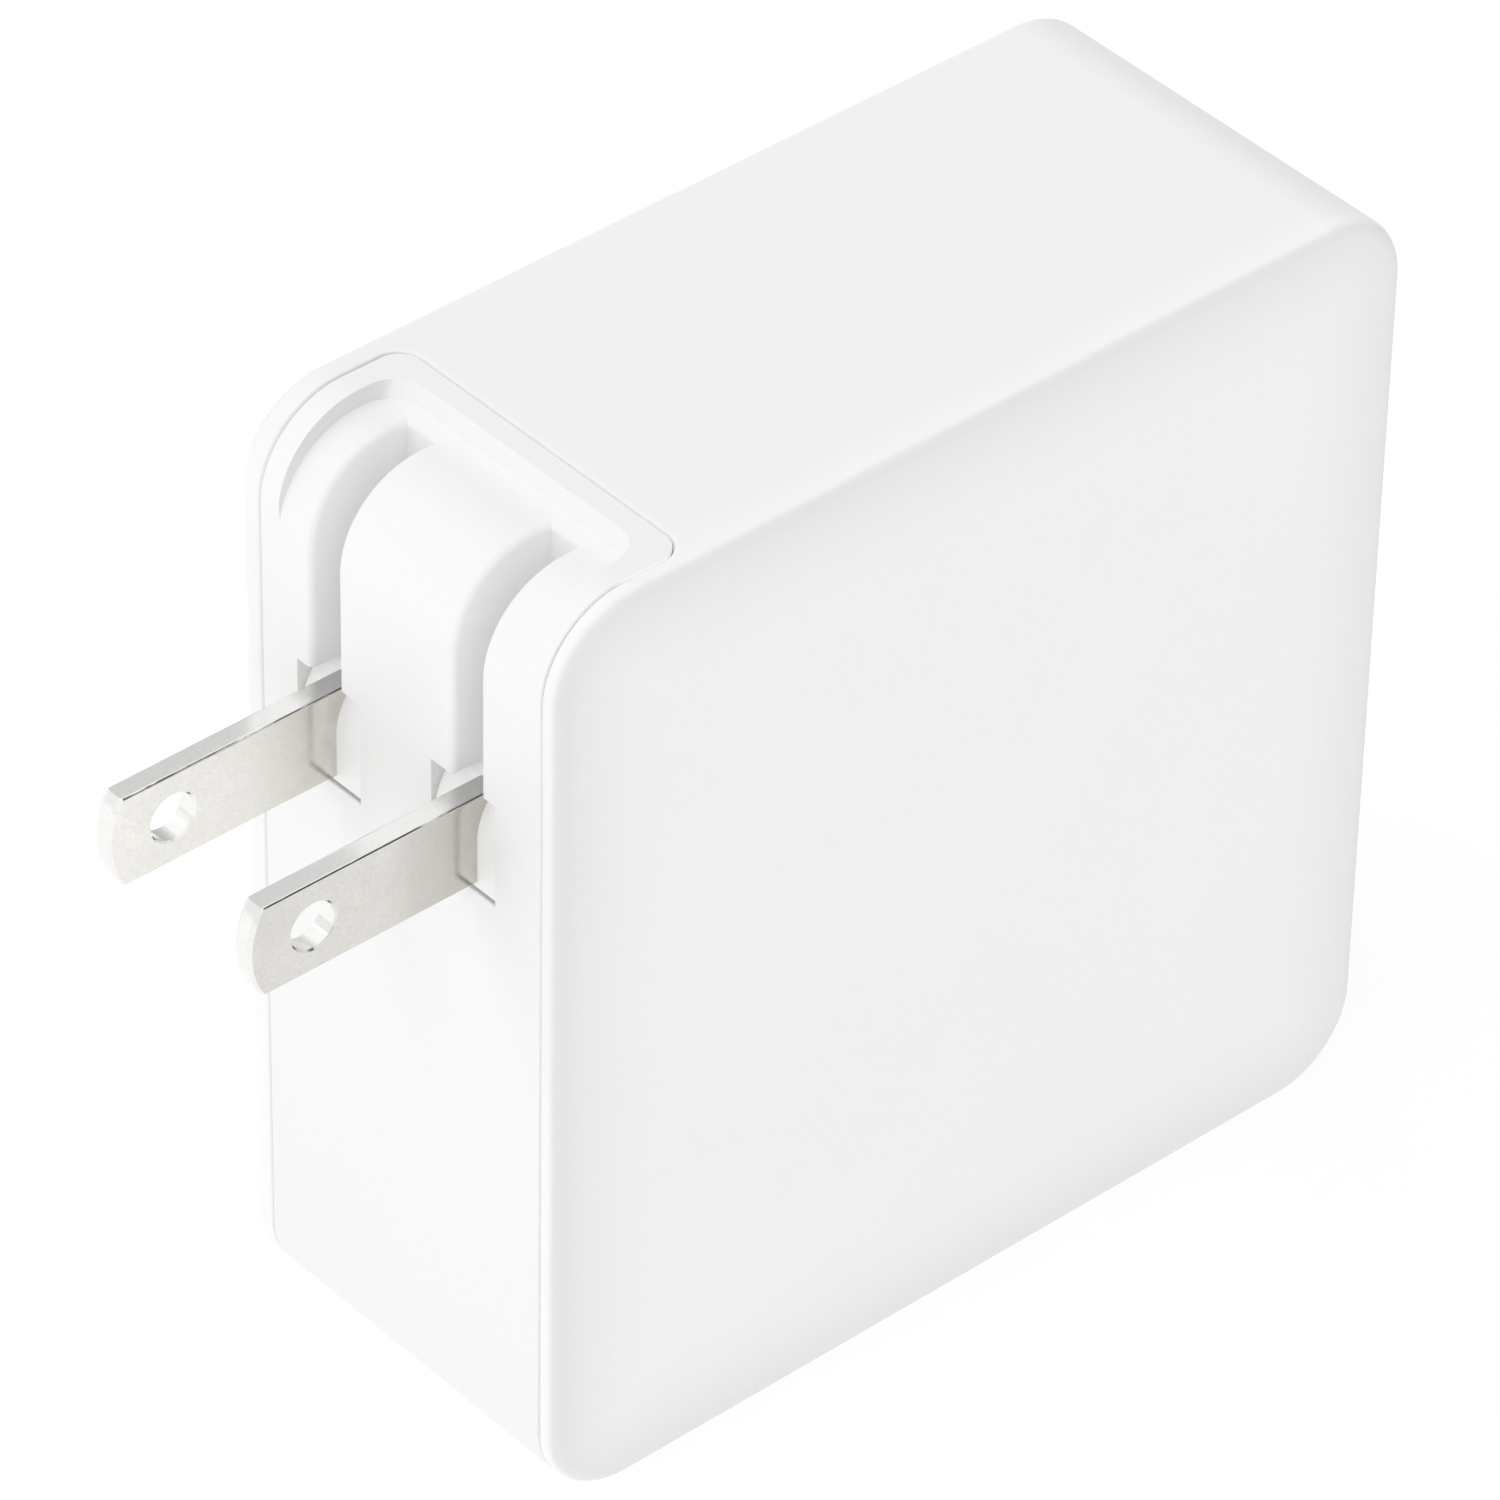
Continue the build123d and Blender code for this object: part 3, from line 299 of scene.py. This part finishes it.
def seam_glow(n, glow):
    """Painted glow that keeps the cover's near side seam light, at its thin edge beside the rim."""
    place, facing = n.split(n.place), n.split(n.facing)
    side = n.spread(facing["X"], 0.0, SEAM_GLOW, 0.8, 0.95)
    out = n.spread(place["X"], 0.0, 1.0, SHELL_HIGH.x - NEAR_SEAM_INSET[1],
                   SHELL_HIGH.x - NEAR_SEAM_INSET[0])
    # less so round the top corner, where the seam opens, and more so on the flat top
    on_wall, in_corner, on_top = NEAR_SEAM
    lower = n.spread(place["Z"], on_wall, in_corner, SHELL_HIGH.z - CORNER - 2 * MM, SHELL_HIGH.z - CORNER)
    corner_end = SHELL_LOW.y + CORNER
    upper = n.spread(place["Y"], 0.0, on_top, corner_end - 0.8 * MM, corner_end + 0.2 * MM)
    share = n.maths("MAXIMUM", lower, upper)
    return n.maths("ADD", n.maths("MULTIPLY", n.maths("MULTIPLY", side, out), share), glow)


def plated_metal(name, tone, bright):
    """Bright nickel plate: a fine speckle, faint stains and rolling lines, painted light and shade, and
    stamped ends that are brighter, partly for their finish and partly as a painted highlight.
    """
    n = Nodes(name)
    place, facing = n.split(n.place), n.split(n.facing)
    lines = n.noise(0.2 * MM, detail=3.0, place=n.stretched((1.0, 0.06, 1.0)))
    speck = n.noise(0.22 * MM, detail=3.0, roughness=0.7)
    cloud = n.noise(2.6 * MM, detail=6.0, roughness=0.65, distortion=0.5)
    tint = n.noise(0.9 * MM, detail=4.0, roughness=0.7)
    base = n.ramp(cloud, ((0.3, shade(tone, 0.94)), (0.55, tone), (0.7, shade(tone, 1.05))))
    base = n.mix(n.spread(speck, 0.0, 0.8, 0.4, 0.75), base, shade(tone, 0.84))
    base = n.mix(n.spread(tint, 0.0, 0.5, 0.45, 0.7), base, tinted(tone, (1.02, 0.97, 0.93)))
    # painted light: one blade a little lighter than the other; and a brown painted shade that fades away
    # from the case
    base = n.scaled(base, n.spread(place["X"], *BLADE_PAINTED_LIGHT, -BLADE_X, BLADE_X))
    root_shade = n.maths("MULTIPLY", n.spread(place["Y"], 0.0, 1.0, SHELL_LOW.y - ROOT_SHADE_REACH, SHELL_LOW.y),
                    n.spread(cloud, 0.4, 1.0))
    base = n.mix(root_shade, base, tinted(tone, (0.8, 0.77, 0.73)))
    # the stamped ends and edges are brighter, partly for their finish and partly as a painted highlight, and
    # take painted shade near the case
    edge = n.maths("MAXIMUM", n.maths("ABSOLUTE", facing["Y"]), n.maths("ABSOLUTE", facing["Z"]))
    ends = n.mix(n.spread(speck, 0.0, 1.0), bright, shade(bright, 0.93))
    ends = n.scaled(ends, n.spread(place["Y"], 1.0, ROOT_EDGE_SHADE_TONE, SHELL_LOW.y - ROOT_EDGE_SHADE, SHELL_LOW.y - ROOT_EDGE_SHADE / 2))
    colour = n.mix(n.spread(edge, 0.0, 1.0, 0.6, 0.95), base, ends)
    # a dark streak, broken here and there, runs along the rounds of the upper long edges
    streaks = n.noise(0.5 * MM, detail=3.0, place=n.stretched((1.0, 0.25, 1.0)))
    rounded = n.maths("MINIMUM", n.maths("ABSOLUTE", facing["X"]), facing["Z"])
    upper = n.spread(place["Z"], 0.0, 1.0, *[BLADE_TOP - distance for distance in STREAK_BAND])
    edge_streak = n.maths("MULTIPLY", n.spread(n.maths("MULTIPLY", rounded, upper), 0.0, 1.0, 0.4, 0.6),
                   n.spread(streaks, 0.0, 0.95, 0.34, 0.5))
    colour = n.mix(edge_streak, colour, shade(tone, 0.12))
    roughness = n.maths("ADD", n.spread(cloud, 0.20, 0.12), n.spread(lines, -0.02, 0.03))
    normal = n.bump(speck, 0.0015 * MM, normal=n.bump(lines, 0.001 * MM))
    return n.finish(colour, roughness, normal, Metallic=1.0)


def generic(name, tone, metallic, rough):
    """A plain moulded, rolled or wound surface with its own fine relief."""
    n = Nodes(name)
    cloud = n.noise(4 * MM, detail=4.0)
    fine = n.noise(0.3 * MM, detail=3.0)
    base = n.ramp(cloud, ((0.3, shade(tone, 0.9)), (0.7, shade(tone, 1.06))))
    roughness = n.spread(cloud, rough - 0.07, rough + 0.07)
    return n.finish(base, roughness, n.bump(fine, 0.01 * MM), Metallic=metallic)


materials = {
    # glow in these plastics is painted light; the carrier takes the strongest
    "case_plastic": white_plastic("case_plastic", (0.91,) * 3, painted_light_by_place=shell_painted_light),
    "cover_plastic": white_plastic("cover_plastic", (0.88,) * 3, glow=0.05,
                                   painted_light_by_place=cover_painted_shade, glow_by_place=seam_glow),
    "plate_plastic": white_plastic("plate_plastic", (0.91,) * 3),
    "carrier_plastic": white_plastic("carrier_plastic", (0.86,) * 3, rough=(0.3, 0.4), glow=0.13),
    "blade_metal": plated_metal("blade_metal", (0.72, 0.71, 0.68), (0.94, 0.935, 0.92)),
}
METALS = ("chrome", "brushed_steel", "brass", "aluminium")
# everything inside takes its tone from the record
for slot in frame["record"]["materials"]:
    if slot["slot"] not in materials:
        metallic, rough = (1.0, 0.3) if slot["class"] in METALS else (0.0, 0.5)
        materials[slot["slot"]] = generic(slot["slot"], tuple(slot["base_color"][:3]), metallic, rough)
slot_of = {part["node"]: part["material_slot"] for part in frame["record"]["subparts"]}
for node, piece in frame["nodes"].items():
    for place in piece.material_slots:
        place.material = materials[slot_of[node]]


# ---------------------------------------------------------------- camera, floor and light
AZIMUTH, ELEVATION, ROLL = math.radians(48.194), math.radians(38.623), math.radians(1.167)
DISTANCE = 0.58381
LENS = 235.07                       # millimetres
TARGET = Vector((0.0, -5.66 * MM, 36.05 * MM))      # the point looked at


def add_camera():
    """A long lens that looks down on the plug side, turned a little about its own axis."""
    camera = bpy.data.objects.new("camera", bpy.data.cameras.new("camera"))
    SCENE.collection.objects.link(camera)
    back = Vector((math.sin(AZIMUTH) * math.cos(ELEVATION), -math.cos(AZIMUTH) * math.cos(ELEVATION),
                   math.sin(ELEVATION)))
    across = Vector((0, 0, 1)).cross(back).normalized()
    up = back.cross(across)
    right = across * math.cos(ROLL) + up * math.sin(ROLL)
    top = up * math.cos(ROLL) - across * math.sin(ROLL)
    turn = Matrix((right, top, back)).transposed().to_4x4()
    camera.matrix_world = Matrix.Translation(TARGET + back * DISTANCE) @ turn
    camera.data.lens = LENS
    camera.data.clip_start, camera.data.clip_end = 0.01, 10.0
    SCENE.camera = camera


def add_light(name, place, target, size, power):
    """A square soft box at place that faces target."""
    data = bpy.data.lights.new(name, "AREA")
    data.shape = "SQUARE"
    data.size = size
    data.energy = power
    data.spread = math.pi
    light = bpy.data.objects.new(name, data)
    SCENE.collection.objects.link(light)
    light.location = place
    light.rotation_euler = (Vector(place) - Vector(target)).to_track_quat("Z", "Y").to_euler()


def add_floor():
    """A wide pale floor that the charger stands on, a hair below it."""
    half = FLOOR_SIZE / 2
    mesh = bpy.data.meshes.new("floor")
    corners = [(-half, -half, 0), (half, -half, 0), (half, half, 0), (-half, half, 0)]
    mesh.from_pydata(corners, [], [(0, 1, 2, 3)])
    floor = bpy.data.objects.new("floor", mesh)
    SCENE.collection.objects.link(floor)
    floor.location.z = CAD_LOW.z - 0.02 * MM
    n = Nodes("floor")
    tone = n.ramp(n.noise(0.2, detail=2.0), ((0.3, (FLOOR_TONE,) * 3), (0.7, (FLOOR_TONE * 1.02,) * 3)))
    n.finish(tone, Roughness=0.9, Emission_Color=WHITE_LIGHT, Emission_Strength=FLOOR_GLOW)
    mesh.materials.append(n.material)


def add_world(even, brighter, towards, dark_spots):
    """A white surround: a broad brighter side, and soft dark spots where the room shows between screens."""
    world = bpy.data.worlds.new("studio")
    world.use_nodes = True
    tree = world.node_tree
    place = tree.nodes.new("ShaderNodeTexCoord").outputs["Generated"]

    def toward(direction, start, end, low, high):
        """A smooth step of the cosine between a ray and the direction."""
        dot = tree.nodes.new("ShaderNodeVectorMath")
        dot.operation = "DOT_PRODUCT"
        tree.links.new(place, dot.inputs[0])
        dot.inputs[1].default_value = Vector(direction).normalized()
        step = tree.nodes.new("ShaderNodeMapRange")
        step.interpolation_type = "SMOOTHSTEP"
        for key, value in (("From Min", start), ("From Max", end), ("To Min", low), ("To Max", high)):
            step.inputs[key].default_value = value
        tree.links.new(dot.outputs["Value"], step.inputs["Value"])
        return step.outputs["Result"]

    strength = toward(towards, -1.2, 0.9, even, even + brighter)
    for direction, outer, inner, left in dark_spots:
        product = tree.nodes.new("ShaderNodeMath")
        product.operation = "MULTIPLY"
        tree.links.new(strength, product.inputs[0])
        spot = toward(direction, math.cos(math.radians(outer)), math.cos(math.radians(inner)), 1.0, left)
        tree.links.new(spot, product.inputs[1])
        strength = product.outputs["Value"]
    tree.nodes["Background"].inputs["Color"].default_value = WHITE_LIGHT
    tree.links.new(strength, tree.nodes["Background"].inputs["Strength"])
    SCENE.world = world


FLOOR_SIZE = 6.0
FLOOR_TONE, FLOOR_GLOW = 0.4, 0.64
SURROUND = (0.205, 0.88)            # the white surround's strength, and what its bright side adds
BRIGHT_SIDE = (0.0, -0.35, 0.9)
KEY_PLACE, KEY_SIZE, KEY_POWER = (-0.35, -0.55, 0.65), 0.3, 0.33
# each dark spot is its direction, its outer and inner radius in degrees, and what is left of the light in it
DARK_SPOTS = (
    ((0.72, 0.56, 0.40), 19, 9, 0.06),
    ((-0.55, 0.6, 0.58), 30, 12, 0.72),
    ((-0.1, 0.95, 0.3), 36, 14, 0.3),
    ((0.58, -0.52, 0.62), 13, 6, 0.1),
)
add_camera()
add_floor()
add_world(*SURROUND, BRIGHT_SIDE, DARK_SPOTS)
add_light("key", KEY_PLACE, (CAD_LOW + CAD_HIGH) / 2, KEY_SIZE, KEY_POWER)
SCENE.view_settings.view_transform = "Standard"
